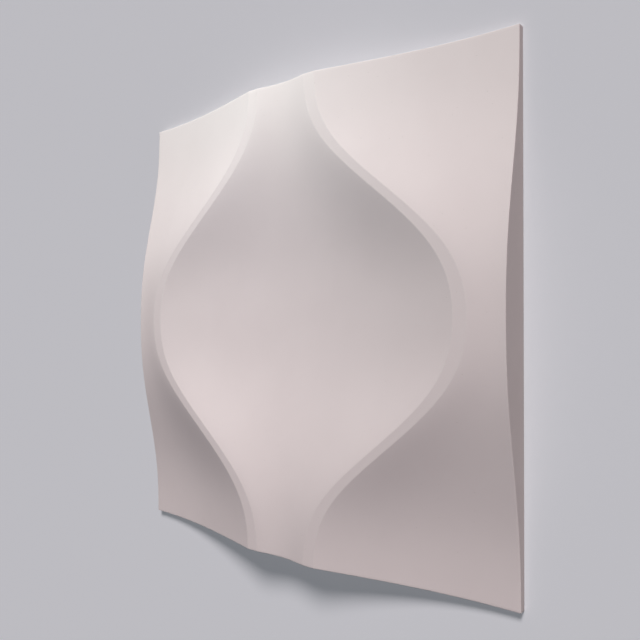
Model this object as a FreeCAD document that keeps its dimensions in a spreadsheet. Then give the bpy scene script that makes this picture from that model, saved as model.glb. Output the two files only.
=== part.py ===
import FreeCAD, Part
import os
import Sketcher

# A square relief tile for lining a wall, cast in one piece.
# Its flat back lies on Z = 0, centred on the origin, and the relief faces +Z.
# Two flat ribbons snake up the face, one the mirror image of the other.
# Hollow valleys hang between them: a whole one in the middle, a half one along each side.
# Each valley is wide and deep in one place and pinched and shallow half a tile further on,
# and its neighbours are half a wave out of step, so the ribbons keep one width and one height.
# The pattern repeats over one tile, so that laid tiles join without a break.
# A ribbon swings to and fro in a wave. Fullness and crimp flatten the bends of that wave and
# steepen its crossings, and lean draws the crossings towards the tile's middle line.

V = FreeCAD.Vector

# How a sketch numbers its own origin, its two axes, and the points of a line.
ORIGIN = (-1, 1)
ALONG_X, ALONG_Y = range(-1, -3, -1)
START, END, CENTRE = range(1, 4)

# A valley is lofted through evenly spaced sections, this many to one wave of the ribbons.
SECTIONS_PER_WAVE = 24
HALF_WAVE = 180
STEP_ANGLE = 2 * HALF_WAVE // SECTIONS_PER_WAVE

SIZES = {
    "tile_side": 500,
    "base_thickness": 7.2,
    "relief_depth": 32.4,
    "pinch_depth": 4,
    "ribbon_width": 13.4,
    "ribbon_swing": 88.7,
    "ribbon_fullness": 3.25,
    "ribbon_crimp": 0.45,
    "ribbon_lean": 0.78,
    "wide_bell": 0.23,
    "pinch_bell": 0.46,
    "cutter_rise": 6,
}

doc = FreeCAD.newDocument("relief_tile")

sheet = doc.addObject("Spreadsheet::Sheet", "Sizes")
for row, (alias, value) in enumerate(SIZES.items(), start=1):
    sheet.set(f"A{row}", alias)
    sheet.set(f"B{row}", str(value))
    sheet.setAlias(f"B{row}", alias)

# What follows from the driving sizes: the tile's thickness, a ribbon's mean distance from
# the line that it winds along, and a valley's half width at its widest and at its pinch.
DERIVED = {
    "tile_thickness": "=base_thickness + relief_depth",
    "half_side": "=tile_side / 2",
    "ribbon_mean": "=tile_side / 4",
    "section_pitch": f"=tile_side / {SECTIONS_PER_WAVE}",
    "wide_half": "=ribbon_mean + ribbon_swing - ribbon_fullness - ribbon_crimp - ribbon_width / 2",
    "pinch_half": "=ribbon_mean - ribbon_swing + ribbon_fullness + ribbon_crimp - ribbon_width / 2",
}
for row, (alias, formula) in enumerate(DERIVED.items(), start=len(SIZES) + 1):
    sheet.set(f"A{row}", alias)
    sheet.set(f"B{row}", formula)
    sheet.setAlias(f"B{row}", alias)
doc.recompute()


def size(alias):
    return float(sheet.get(alias))


tile = doc.addObject("PartDesign::Body", "Tile")
tile.Label = "relief_tile"


def origin_plane(role):
    return next(item for item in tile.Origin.OriginFeatures if item.Role == role)


def new_sketch(name, role):
    sketch = tile.newObject("Sketcher::SketchObject", name)
    sketch.AttachmentSupport = [(origin_plane(role), "")]
    sketch.MapMode = "FlatFace"
    return sketch


def constrain(sketch, kind, *places):
    sketch.addConstraint(Sketcher.Constraint(kind, *places))


def dimension(sketch, kind, *places, name, value):
    """Adds a named dimension whose value comes from the sheet."""
    index = sketch.addConstraint(Sketcher.Constraint(kind, *places, size("pinch_depth")))
    sketch.renameConstraint(index, name)
    sketch.setExpression(f"Constraints.{name}", value)


def square_plate():
    """The whole tile before the valleys: its uncut top face is the ribbons' flat top."""
    sketch = new_sketch("tile_outline", "XY_Plane")
    half = size("half_side")
    corners = [V(-half, -half), V(half, -half), V(half, half), V(-half, half)]
    for this, following in zip(corners, corners[1:] + corners[:1]):
        sketch.addGeometry(Part.LineSegment(this, following), False)
    for line in range(4):
        constrain(sketch, "Coincident", line, END, (line + 1) % 4, START)
        constrain(sketch, "Horizontal" if line % 2 == 0 else "Vertical", line)
    constrain(sketch, "Symmetric", 0, START, 1, END, *ORIGIN)
    dimension(sketch, "DistanceX", 0, START, 0, END, name="width", value="Sizes.tile_side")
    dimension(sketch, "DistanceY", 1, START, 1, END, name="height", value="Sizes.tile_side")
    plate = tile.newObject("PartDesign::Pad", "plate")
    plate.Profile = sketch
    plate.setExpression("Length", "Sizes.tile_thickness")


def half_width_formula(step, place):
    """A valley's half width at one section: what its two ribbons leave between them.

    What widens the middle valley narrows the side ones. The lean alone isn't turned round by
    the half wave between them, so it changes its sign.
    """
    angle = step * STEP_ANGLE + place * HALF_WAVE
    lean_sign = "+" if place else "-"
    return (
        f"Sizes.ribbon_mean - Sizes.ribbon_width / 2 + Sizes.ribbon_swing * cos({angle})"
        f" - Sizes.ribbon_fullness * cos({3 * angle}) - Sizes.ribbon_crimp * cos({5 * angle})"
        f" {lean_sign} Sizes.ribbon_lean * (1 - cos({2 * angle}))"
    )


def valley_section(name, step, place):
    """One cross-section of a valley, drawn about the valley's middle line at ribbon height.

    The floor is a quartic curve: depth x (1 - t^2) (1 - bell t^2), with t from -1 to 1 across
    the valley. Its five poles stand at even distances. Above the ribbons it is closed by a box.
    Depth and bell change evenly with the half width, from the pinch to the widest section.
    """
    sketch = new_sketch(name, "XZ_Plane")
    sketch.setExpression("AttachmentOffset.Base.x", f"{place} * Sizes.half_side")
    sketch.setExpression("AttachmentOffset.Base.y", "Sizes.tile_thickness")
    sketch.setExpression("AttachmentOffset.Base.z", f"{-step} * Sizes.section_pitch")

    half = size("pinch_half")
    drop = size("pinch_depth")
    rise = size("cutter_rise")
    poles = [V(-half, 0), V(-half / 2, -drop), V(0, -2 * drop), V(half / 2, -drop), V(half, 0)]
    floor_curve = Part.BSplineCurve()
    floor_curve.buildFromPolesMultsKnots(poles, [5, 5], [0, 1], False, 4)
    floor = sketch.addGeometry(floor_curve, False)
    sketch.exposeInternalGeometry(floor)
    left_rim, left_pole, middle_pole, right_pole, right_rim = range(floor + 1, floor + 6)

    box = [V(half, 0), V(half, rise), V(-half, rise), V(-half, 0)]
    right, top, left = [
        sketch.addGeometry(Part.LineSegment(this, following), False)
        for this, following in zip(box, box[1:])
    ]
    constrain(sketch, "Coincident", floor, END, right, START)
    constrain(sketch, "Coincident", right, END, top, START)
    constrain(sketch, "Coincident", top, END, left, START)
    constrain(sketch, "Coincident", left, END, floor, START)
    constrain(sketch, "Vertical", right)
    constrain(sketch, "Horizontal", top)
    constrain(sketch, "Vertical", left)
    dimension(sketch, "DistanceY", right, START, right, END, name="rise", value="Sizes.cutter_rise")

    constrain(sketch, "PointOnObject", right_rim, CENTRE, ALONG_X)
    constrain(sketch, "PointOnObject", middle_pole, CENTRE, ALONG_Y)
    constrain(sketch, "Symmetric", left_rim, CENTRE, right_rim, CENTRE, ALONG_Y)
    constrain(sketch, "Symmetric", left_pole, CENTRE, right_pole, CENTRE, ALONG_Y)

    dimension(
        sketch, "DistanceX", *ORIGIN, right_rim, CENTRE,
        name="half_width", value=half_width_formula(step, place),
    )
    dimension(
        sketch, "DistanceX", *ORIGIN, right_pole, CENTRE,
        name="shoulder_place", value="Constraints.half_width / 2",
    )
    share = "(Constraints.half_width / 1 mm - Sizes.pinch_half) / (Sizes.wide_half - Sizes.pinch_half)"
    depth = f"(Sizes.pinch_depth + (Sizes.relief_depth - Sizes.pinch_depth) * {share})"
    bell = f"(Sizes.pinch_bell + (Sizes.wide_bell - Sizes.pinch_bell) * {share})"
    dimension(
        sketch, "DistanceY", right_pole, CENTRE, *ORIGIN,
        name="shoulder_drop", value=f"{depth} * (1 - {bell})",
    )
    dimension(
        sketch, "DistanceY", middle_pole, CENTRE, *ORIGIN,
        name="middle_drop", value=f"{depth} * (1 + {bell}) * 4 / 3",
    )
    return sketch


def valley(name, place):
    """Cuts one valley right across the tile; its sections run on past both ends.

    Place counts half tiles sideways from the middle, and half waves out of step with it.
    """
    beyond = SECTIONS_PER_WAVE // 2 + 1
    sections = [
        valley_section(f"{name}_section_{step + beyond}", step, place)
        for step in range(-beyond, beyond + 1)
    ]
    doc.recompute()
    cut = tile.newObject("PartDesign::SubtractiveLoft", name)
    cut.Profile = sections[0]
    cut.Sections = sections[1:]
    cut.Ruled = False
    return cut


square_plate()
valley("middle_valley", 0)
side_valley = valley("side_valley", 1)

mirrored = tile.newObject("PartDesign::Mirrored", "other_side_valley")
mirrored.Originals = [side_valley]
mirrored.MirrorPlane = (origin_plane("YZ_Plane"), [""])
tile.Tip = mirrored
doc.recompute()

for item in doc.Objects:
    if "Invalid" in item.State or "Error" in item.State:
        raise RuntimeError(f"{item.Label} did not compute: {item.State}")
if tile.Shape.isNull() or not tile.Shape.isValid() or len(tile.Shape.Solids) != 1:
    raise RuntimeError("the tile is not one valid solid")

os.makedirs("parts", exist_ok=True)
tile.Shape.exportStep(f"parts/{tile.Label}.step")
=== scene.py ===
import math

import bmesh
import bpy
import numpy as np
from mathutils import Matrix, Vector


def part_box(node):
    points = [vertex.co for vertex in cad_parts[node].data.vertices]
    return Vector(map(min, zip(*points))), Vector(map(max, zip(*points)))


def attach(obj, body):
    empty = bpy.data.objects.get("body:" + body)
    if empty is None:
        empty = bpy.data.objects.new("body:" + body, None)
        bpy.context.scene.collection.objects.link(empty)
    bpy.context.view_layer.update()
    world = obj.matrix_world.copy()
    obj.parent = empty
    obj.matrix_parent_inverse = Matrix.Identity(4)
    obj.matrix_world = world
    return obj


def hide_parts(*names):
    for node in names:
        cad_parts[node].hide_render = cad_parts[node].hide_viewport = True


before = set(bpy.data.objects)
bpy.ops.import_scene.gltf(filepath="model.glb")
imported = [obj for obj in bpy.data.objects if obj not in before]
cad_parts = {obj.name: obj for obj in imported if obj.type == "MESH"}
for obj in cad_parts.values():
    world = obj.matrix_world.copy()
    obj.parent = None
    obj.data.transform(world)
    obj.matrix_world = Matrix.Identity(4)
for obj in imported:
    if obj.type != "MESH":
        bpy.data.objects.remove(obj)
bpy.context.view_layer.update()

# The tile lies on its back. Its relief is built here as one fine mesh from the same sizes as
# the solid, in metres, so that light runs over it without facets.
NODE = "relief_tile"
PIECE = "gypsum_relief"
SLOT = "cast_gypsum"
WEAR = "wear"

low, high = (np.array(corner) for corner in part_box(NODE))
SIDE = float(high[0] - low[0])
THICKNESS = float(high[2] - low[2])
BASE_THICKNESS = 0.0072
RELIEF_DEPTH = THICKNESS - BASE_THICKNESS
PINCH_DEPTH = 0.004
RIBBON_WIDTH = 0.0134
RIBBON_SWING = 0.0887
RIBBON_FULLNESS = 0.00325
RIBBON_CRIMP = 0.00045
RIBBON_LEAN = 0.00078
WIDE_BELL = 0.23
PINCH_BELL = 0.46

HALF = SIDE / 2
RIBBON_MEAN = SIDE / 4
BEND = RIBBON_SWING - RIBBON_FULLNESS - RIBBON_CRIMP
WIDE_HALF = RIBBON_MEAN + BEND - RIBBON_WIDTH / 2
PINCH_HALF = RIBBON_MEAN - BEND - RIBBON_WIDTH / 2

# The rounding that a cast edge has: where a ribbon meets a valley, and all round the tile.
CREASE_ROUND = 0.0007
ARRIS_ROUND = 0.00045
# How far the wear of a ribbon's edge reaches to each side of it.
WEAR_REACH = 0.0014

ROW_PITCH = 0.0021
VALLEY_COLUMNS = 44
RIBBON_COLUMNS = 6
ARRIS_STEPS = 4
# How near a rounded edge a flat side has its first ring of points, which keeps the side flat.
SIDE_MARGIN = 0.0006
WELD_REACH = 1e-6

# The dry plaster clouds between two tones. Specks, worn edges and the back each turn it towards a
# tone of their own, and the pinholes are darkened with painted shade, the shade that falls inside
# their pits.
DEEPER_TONE = (0.83, 0.765, 0.765)
PALER_TONE = (0.85, 0.785, 0.785)
SPECK_TONE = (0.8, 0.735, 0.735)
WORN_TONE = (0.88, 0.83, 0.82)
BACK_TONE = (0.78, 0.72, 0.71)
PINHOLE_SHADE_TONE = (0.5, 0.45, 0.44)
PINHOLE_SPACING = 0.008
PINHOLE_RADIUS = 0.00035
# The furrows on the back are this much longer along X than they are wide.
FURROW_LENGTH = 50

# The camera stands where a fit to the tile's outline in the photograph puts it.
SENSOR_WIDTH = 36
LENS = 37.868
CAMERA_PLACE = (0.48669, -0.00784, 0.55255)
CAMERA_TURN = (0.559, 40.032, 0.024)

# Light: a soft key from far above the tile's upper edge, a near globe beyond that edge on the
# left, a faint one over the tile's middle, a broad weak light from the other side, a dim room.
KEY_WAY = (0.262, 0.753, 0.604)
KEY_BREADTH = 18
KEY_STRENGTH = 2.54
KEY_COLOUR = (1, 0.912, 0.898)
NEAR_PLACE = (-0.100, 0.443, 0.321)
NEAR_POWER = 3.27
NEAR_COLOUR = (0.87, 1, 0.938)
FILL_PLACE = (-0.053, 0.104, 0.205)
FILL_POWER = 0.105
FILL_COLOUR = (0.93, 0.82, 1)
GLOBE_RADIUS = 0.04
COUNTER_WAY = (0, -0.989, 0.149)
COUNTER_BREADTH = 50
COUNTER_STRENGTH = 0.3
COUNTER_COLOUR = (1, 1, 1)
ROOM_COLOUR = (0.5, 0.55, 1)
ROOM_STRENGTH = 0.025

# The backdrop has the floor's lit colour, so that no horizon shows.
FLOOR_COLOUR = (0.66, 0.69, 0.73)
FLOOR_GLOW = 0.25
FLOOR_BOUNCE = (0.45, 0.45, 0.45)
FLOOR_REACH = 60
FLOOR_GAP = 0.0001
BACKDROP_COLOUR = (0.505, 0.499, 0.529)


def ribbon_centre(y):
    """How far a ribbon's centre line is from the tile's middle line at height y."""
    turn = 2 * math.pi * y / SIDE
    wave = RIBBON_SWING * np.cos(turn) - RIBBON_FULLNESS * np.cos(3 * turn)
    wave -= RIBBON_CRIMP * np.cos(5 * turn)
    return RIBBON_MEAN + wave - RIBBON_LEAN * (1 - np.cos(2 * turn))


def soft_rim(from_rim):
    """Distance in from a valley's rim, eased to nothing over the rounding on both sides of it."""
    eased = (from_rim + CREASE_ROUND) ** 2 / (4 * CREASE_ROUND)
    eased = np.where(from_rim < -CREASE_ROUND, 0, eased)
    return np.where(from_rim < CREASE_ROUND, eased, from_rim)


def dip(from_rim, half_width):
    """Depth below the ribbons at a distance in from a valley's rim."""
    across = 1 - soft_rim(from_rim) / half_width
    share = (half_width - PINCH_HALF) / (WIDE_HALF - PINCH_HALF)
    depth = PINCH_DEPTH + (RELIEF_DEPTH - PINCH_DEPTH) * share
    bell = PINCH_BELL + (WIDE_BELL - PINCH_BELL) * share
    return depth * (1 - across ** 2) * (1 - bell * across ** 2)


def relief_height(x, y):
    centre = ribbon_centre(y)
    inner_half = centre - RIBBON_WIDTH / 2
    outer_half = HALF - centre - RIBBON_WIDTH / 2
    inner = dip(inner_half - np.abs(x), inner_half)
    outer = dip(outer_half - (HALF - np.abs(x)), outer_half)
    return THICKNESS - inner - outer


def distance_from_edge(x, y):
    return HALF - np.maximum(np.abs(x), np.abs(y))


def arris_drop(from_edge):
    """How far the rounded edge lies below the face, at a distance in from the tile's side."""
    out = np.clip(ARRIS_ROUND - from_edge, 0, ARRIS_ROUND)
    return ARRIS_ROUND - np.sqrt(ARRIS_ROUND ** 2 - out ** 2)


def arris_stations():
    """Distances in from the tile's side at which the rounded edge has its rows."""
    turns = np.linspace(0, math.pi / 2, ARRIS_STEPS + 1)[:-1]
    return ARRIS_ROUND * (1 - np.cos(turns))


def wear_of(x, y):
    """How worn the face is: 1 along the edges of the ribbons and of the tile, 0 away from them."""
    from_centre = np.abs(np.abs(x) - ribbon_centre(y))
    crease = 1 - np.abs(from_centre - RIBBON_WIDTH / 2) / WEAR_REACH
    middle_of_arris = ARRIS_ROUND * (1 - math.sqrt(0.5))
    arris = 1 - np.abs(distance_from_edge(x, y) - middle_of_arris) / ARRIS_ROUND
    return np.clip(np.maximum(crease, arris), 0, 1)


def row_places():
    edge = HALF - arris_stations()
    inside = HALF - ARRIS_ROUND
    count = round(2 * inside / ROW_PITCH)
    return np.concatenate([-edge, np.linspace(-inside, inside, count + 1), edge[::-1]])


def column_places(y):
    """The columns of one row: they follow the ribbons, and crowd where these meet the valleys."""
    centre = float(ribbon_centre(y))
    rim_in, rim_out = centre - RIBBON_WIDTH / 2, centre + RIBBON_WIDTH / 2
    crease = CREASE_ROUND * np.array([-1, -0.5, 0, 0.5, 1])
    clear = 2 * CREASE_ROUND
    middle = np.linspace(0, rim_in - clear, VALLEY_COLUMNS)
    ribbon = np.linspace(rim_in + clear, rim_out - clear, RIBBON_COLUMNS)
    outer = np.linspace(rim_out + clear, HALF - ARRIS_ROUND, VALLEY_COLUMNS)
    edge = HALF - arris_stations()[::-1]
    right = np.concatenate([middle, rim_in + crease, ribbon, rim_out + crease, outer, edge])
    return np.concatenate([-right[:0:-1], right])


def face_grid():
    """X, Y and Z of the face's points, in rows up the tile."""
    rows = row_places()
    x = np.array([column_places(y) for y in rows])
    y = np.repeat(rows[:, None], x.shape[1], axis=1)
    return x, y, relief_height(x, y) - arris_drop(distance_from_edge(x, y))


def border_of(grid):
    """The border of a grid of indices, anticlockwise from its first corner."""
    return np.concatenate([grid[0, :-1], grid[:-1, -1], grid[-1, :0:-1], grid[:0:-1, 0]])


def side_rings(border_height):
    """Height, inset and wear of each ring of points down the tile's sides and round to its back."""
    yield border_height - SIDE_MARGIN, 0, 0
    yield ARRIS_ROUND + SIDE_MARGIN, 0, 0
    for turn in np.linspace(0, math.pi / 2, ARRIS_STEPS + 1):
        height = ARRIS_ROUND * (1 - math.sin(turn))
        inset = ARRIS_ROUND * (1 - math.cos(turn))
        yield height, inset, math.sin(2 * turn)


def band(above, below):
    """The quads between two rings of points."""
    return np.stack([np.roll(above, -1), above, below, np.roll(below, -1)], axis=-1).tolist()


def round_corners(points):
    """Draws the tile's four upright corners in to the radius of its edges."""
    beyond = np.clip(np.abs(points[:, :2]) - (HALF - ARRIS_ROUND), 0, None)
    reach = np.maximum(np.hypot(*beyond.T), 1e-9)
    drawn = beyond * (beyond.max(axis=1) / reach)[:, None]
    points[:, :2] += np.sign(points[:, :2]) * (drawn - beyond)


def weld(mesh):
    """Joins the points that coincide at the four corners of the back."""
    welded = bmesh.new()
    welded.from_mesh(mesh)
    bmesh.ops.remove_doubles(welded, verts=welded.verts[:], dist=WELD_REACH)
    welded.to_mesh(mesh)
    welded.free()
    mesh.update()


def tile_mesh():
    """The face as a grid, rings down the sides, and the back as a fan of flat triangles."""
    x, y, z = face_grid()
    grid = np.arange(x.size).reshape(x.shape)
    points = [np.stack([x, y, z], axis=-1).reshape(-1, 3)]
    wear = [wear_of(x, y).ravel()]
    quads = np.stack([grid[:-1, :-1], grid[:-1, 1:], grid[1:, 1:], grid[1:, :-1]], axis=-1)
    faces = quads.reshape(-1, 4).tolist()

    above = border_of(grid)
    outline = points[0][above]
    total = x.size
    for height, inset, worn in side_rings(outline[:, 2]):
        ring = outline.copy()
        ring[:, :2] = np.clip(ring[:, :2], inset - HALF, HALF - inset)
        ring[:, 2] = height
        points.append(ring)
        wear.append(np.full(len(ring), worn))
        below = np.arange(total, total + len(ring))
        faces += band(above, below)
        above = below
        total += len(ring)

    points.append(np.zeros((1, 3)))
    wear.append(np.zeros(1))
    smooth = [True] * len(faces) + [False] * len(above)
    following = np.roll(above, -1)
    faces += [[after, here, total] for here, after in zip(above.tolist(), following.tolist())]

    points = np.concatenate(points)
    round_corners(points)
    mesh = bpy.data.meshes.new(PIECE)
    mesh.from_pydata(points.tolist(), [], faces)
    mesh.polygons.foreach_set("use_smooth", smooth)
    worn_points = mesh.attributes.new(WEAR, "FLOAT", "POINT")
    worn_points.data.foreach_set("value", np.concatenate(wear))
    weld(mesh)
    return mesh


def new_node(tree, kind, **values):
    node = tree.nodes.new(kind)
    for name, value in values.items():
        setattr(node, name, value)
    return node


def feed(tree, socket, value):
    """Links a socket to the output that feeds it, or sets it to a plain value."""
    if isinstance(value, bpy.types.NodeSocket):
        tree.links.new(value, socket)
    else:
        socket.default_value = value


def noise(tree, place, scale, detail=2.0, roughness=0.5):
    node = new_node(tree, "ShaderNodeTexNoise")
    node.inputs["Scale"].default_value = scale
    node.inputs["Detail"].default_value = detail
    node.inputs["Roughness"].default_value = roughness
    tree.links.new(place, node.inputs["Vector"])
    return node.outputs["Fac"]


def ramp(tree, value, span, onto):
    """Maps one span of values onto another, and holds what is beyond it at its ends."""
    node = new_node(tree, "ShaderNodeMapRange")
    node.inputs["From Min"].default_value = span[0]
    node.inputs["From Max"].default_value = span[1]
    node.inputs["To Min"].default_value = onto[0]
    node.inputs["To Max"].default_value = onto[1]
    tree.links.new(value, node.inputs["Value"])
    return node.outputs["Result"]


def colour_mix(tree, factor, first, second):
    """Colours, whose sockets on this node share their names with others, so they go by number."""
    node = new_node(tree, "ShaderNodeMix", data_type="RGBA")
    tree.links.new(factor, node.inputs["Factor"])
    for socket, value in ((6, first), (7, second)):
        feed(tree, node.inputs[socket], (*value, 1) if isinstance(value, tuple) else value)
    return node.outputs[2]


def multiply(tree, first, second):
    node = new_node(tree, "ShaderNodeMath", operation="MULTIPLY")
    feed(tree, node.inputs[0], first)
    feed(tree, node.inputs[1], second)
    return node.outputs["Value"]


def bump(tree, height, distance, strength, under=None):
    node = new_node(tree, "ShaderNodeBump")
    node.inputs["Strength"].default_value = strength
    node.inputs["Distance"].default_value = distance
    tree.links.new(height, node.inputs["Height"])
    if under is not None:
        tree.links.new(under, node.inputs["Normal"])
    return node.outputs["Normal"]


def pinholes(tree, place):
    """Air bubbles at the skin of the cast: 1 in the middle of each, 0 outside them."""
    node = new_node(tree, "ShaderNodeTexVoronoi")
    node.inputs["Scale"].default_value = 1 / PINHOLE_SPACING
    tree.links.new(place, node.inputs["Vector"])
    rim = PINHOLE_RADIUS / PINHOLE_SPACING
    return ramp(tree, node.outputs["Distance"], span=(0.5 * rim, rim), onto=(1, 0))


def drag_lines(tree, place):
    """The fine long furrows that the levelling bar leaves in the wet back."""
    node = new_node(tree, "ShaderNodeMapping")
    node.inputs["Scale"].default_value = (1 / FURROW_LENGTH, 1, 1)
    tree.links.new(place, node.inputs["Vector"])
    return noise(tree, node.outputs["Vector"], scale=380, detail=3, roughness=0.6)


def cast_gypsum():
    """Dry cast plaster: chalky white with a faint warm cast, matt, with the finest grain.

    The face and sides come from a smooth mould, the back is levelled by hand while it is wet.
    The scale of a noise is in waves to the metre.
    """
    material = bpy.data.materials.new(SLOT)
    material.use_nodes = True
    tree = material.node_tree
    shader = tree.nodes["Principled BSDF"]
    place = new_node(tree, "ShaderNodeTexCoord").outputs["Object"]
    facing = new_node(tree, "ShaderNodeNewGeometry").outputs["True Normal"]
    upward = new_node(tree, "ShaderNodeSeparateXYZ")
    tree.links.new(facing, upward.inputs["Vector"])
    on_back = ramp(tree, upward.outputs["Z"], span=(-0.9, -0.8), onto=(1, 0))
    wear = new_node(tree, "ShaderNodeAttribute", attribute_name=WEAR).outputs["Fac"]

    clouds = ramp(tree, noise(tree, place, scale=14, detail=3), span=(0.35, 0.65), onto=(0, 1))
    tone = colour_mix(tree, clouds, DEEPER_TONE, PALER_TONE)
    fine = noise(tree, place, scale=900, detail=2, roughness=0.7)
    specks = ramp(tree, fine, span=(0.62, 0.8), onto=(0, 0.35))
    tone = colour_mix(tree, specks, tone, SPECK_TONE)
    rubs = ramp(tree, noise(tree, place, scale=260, detail=3), span=(0.4, 0.65), onto=(0, 0.5))
    tone = colour_mix(tree, multiply(tree, wear, rubs), tone, WORN_TONE)
    tone = colour_mix(tree, multiply(tree, on_back, 0.6), tone, BACK_TONE)
    holes = pinholes(tree, place)
    # Painted shade: each pinhole is darkened where shade would fall inside its pit.
    tone = colour_mix(tree, multiply(tree, holes, 0.7), tone, PINHOLE_SHADE_TONE)
    tree.links.new(tone, shader.inputs["Base Color"])

    polish = ramp(tree, noise(tree, place, scale=60, detail=4), span=(0.3, 0.7), onto=(0.7, 0.8))
    tree.links.new(polish, shader.inputs["Roughness"])
    shader.inputs["Specular IOR Level"].default_value = 0.3

    swell = bump(tree, noise(tree, place, scale=35, detail=1), distance=0.00012, strength=0.15)
    dragged = multiply(tree, drag_lines(tree, place), on_back)
    furrows = bump(tree, dragged, distance=0.0006, strength=0.5, under=swell)
    sand = noise(tree, place, scale=1600, detail=3, roughness=0.65)
    grain = bump(tree, sand, distance=0.00012, strength=0.35, under=furrows)
    pits = bump(tree, multiply(tree, holes, -1), distance=0.0003, strength=1, under=grain)
    tree.links.new(pits, shader.inputs["Normal"])
    return material


def pale_floor():
    """Pale to the camera, part of it its own glow; darker to the light that it returns."""
    material = bpy.data.materials.new("pale_floor")
    material.use_nodes = True
    tree = material.node_tree
    shader = tree.nodes["Principled BSDF"]
    seen = new_node(tree, "ShaderNodeLightPath").outputs["Is Camera Ray"]
    tone = colour_mix(tree, seen, FLOOR_BOUNCE, FLOOR_COLOUR)
    tree.links.new(tone, shader.inputs["Base Color"])
    shader.inputs["Roughness"].default_value = 1
    shader.inputs["Specular IOR Level"].default_value = 0
    shader.inputs["Emission Color"].default_value = (*FLOOR_COLOUR, 1)
    glow = ramp(tree, seen, span=(0, 1), onto=(0, FLOOR_GLOW))
    tree.links.new(glow, shader.inputs["Emission Strength"])
    return material


def add_camera():
    """Above the tile and to its right, turned to look across it, as in the photograph."""
    data = bpy.data.cameras.new("camera")
    data.sensor_width = SENSOR_WIDTH
    data.lens = LENS
    camera = bpy.data.objects.new("camera", data)
    camera.location = CAMERA_PLACE
    camera.rotation_mode = "ZXY"
    camera.rotation_euler = [math.radians(angle) for angle in CAMERA_TURN]
    bpy.context.collection.objects.link(camera)
    bpy.context.scene.camera = camera


def add_far_light(name, way, breadth, strength, colour):
    """A soft light from far off: way points to it, breadth is its width in degrees."""
    data = bpy.data.lights.new(name, "SUN")
    data.angle = math.radians(breadth)
    data.energy = strength
    data.color = colour
    lamp = bpy.data.objects.new(name, data)
    lamp.rotation_euler = Vector(way).to_track_quat("Z", "Y").to_euler()
    bpy.context.collection.objects.link(lamp)


def add_globe(name, place, power, colour, tile_only):
    """A small soft globe close by, which lights the tile and not the floor."""
    data = bpy.data.lights.new(name, "POINT")
    data.shadow_soft_size = GLOBE_RADIUS
    data.energy = power
    data.color = colour
    lamp = bpy.data.objects.new(name, data)
    lamp.location = place
    lamp.visible_camera = False
    lamp.light_linking.receiver_collection = tile_only
    bpy.context.collection.objects.link(lamp)


def add_room():
    """Dim light from all round. The camera and reflections see a plain pale backdrop instead."""
    world = bpy.data.worlds.new("soft_room")
    world.use_nodes = True
    tree = world.node_tree
    background = tree.nodes["Background"]
    rays = new_node(tree, "ShaderNodeLightPath").outputs
    either = new_node(tree, "ShaderNodeMath", operation="MAXIMUM")
    tree.links.new(rays["Is Camera Ray"], either.inputs[0])
    tree.links.new(rays["Is Glossy Ray"], either.inputs[1])
    seen = either.outputs["Value"]
    tone = colour_mix(tree, seen, ROOM_COLOUR, BACKDROP_COLOUR)
    tree.links.new(tone, background.inputs["Color"])
    strength = ramp(tree, seen, span=(0, 1), onto=(ROOM_STRENGTH, 1))
    tree.links.new(strength, background.inputs["Strength"])
    bpy.context.scene.world = world


def add_floor():
    """A wide plain floor, a hair below the tile's back so that the two faces don't coincide."""
    corners = [(-1, -1), (1, -1), (1, 1), (-1, 1)]
    points = [(x * FLOOR_REACH, y * FLOOR_REACH, -FLOOR_GAP) for x, y in corners]
    mesh = bpy.data.meshes.new("floor")
    mesh.from_pydata(points, [], [(0, 1, 2, 3)])
    floor = bpy.data.objects.new("floor", mesh)
    floor.data.materials.append(pale_floor())
    bpy.context.collection.objects.link(floor)


def add_tile(tile_only):
    tile = bpy.data.objects.new(PIECE, tile_mesh())
    tile.data.materials.append(cast_gypsum())
    tile_only.objects.link(tile)
    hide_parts(NODE)
    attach(tile, "root")


tile_group = bpy.data.collections.new("tile")
bpy.context.scene.collection.children.link(tile_group)
add_tile(tile_group)
add_camera()
add_far_light("key", KEY_WAY, KEY_BREADTH, KEY_STRENGTH, KEY_COLOUR)
add_far_light("counter", COUNTER_WAY, COUNTER_BREADTH, COUNTER_STRENGTH, COUNTER_COLOUR)
add_globe("near", NEAR_PLACE, NEAR_POWER, NEAR_COLOUR, tile_group)
add_globe("fill", FILL_PLACE, FILL_POWER, FILL_COLOUR, tile_group)
add_room()
add_floor()

bpy.context.scene.view_settings.view_transform = "Standard"
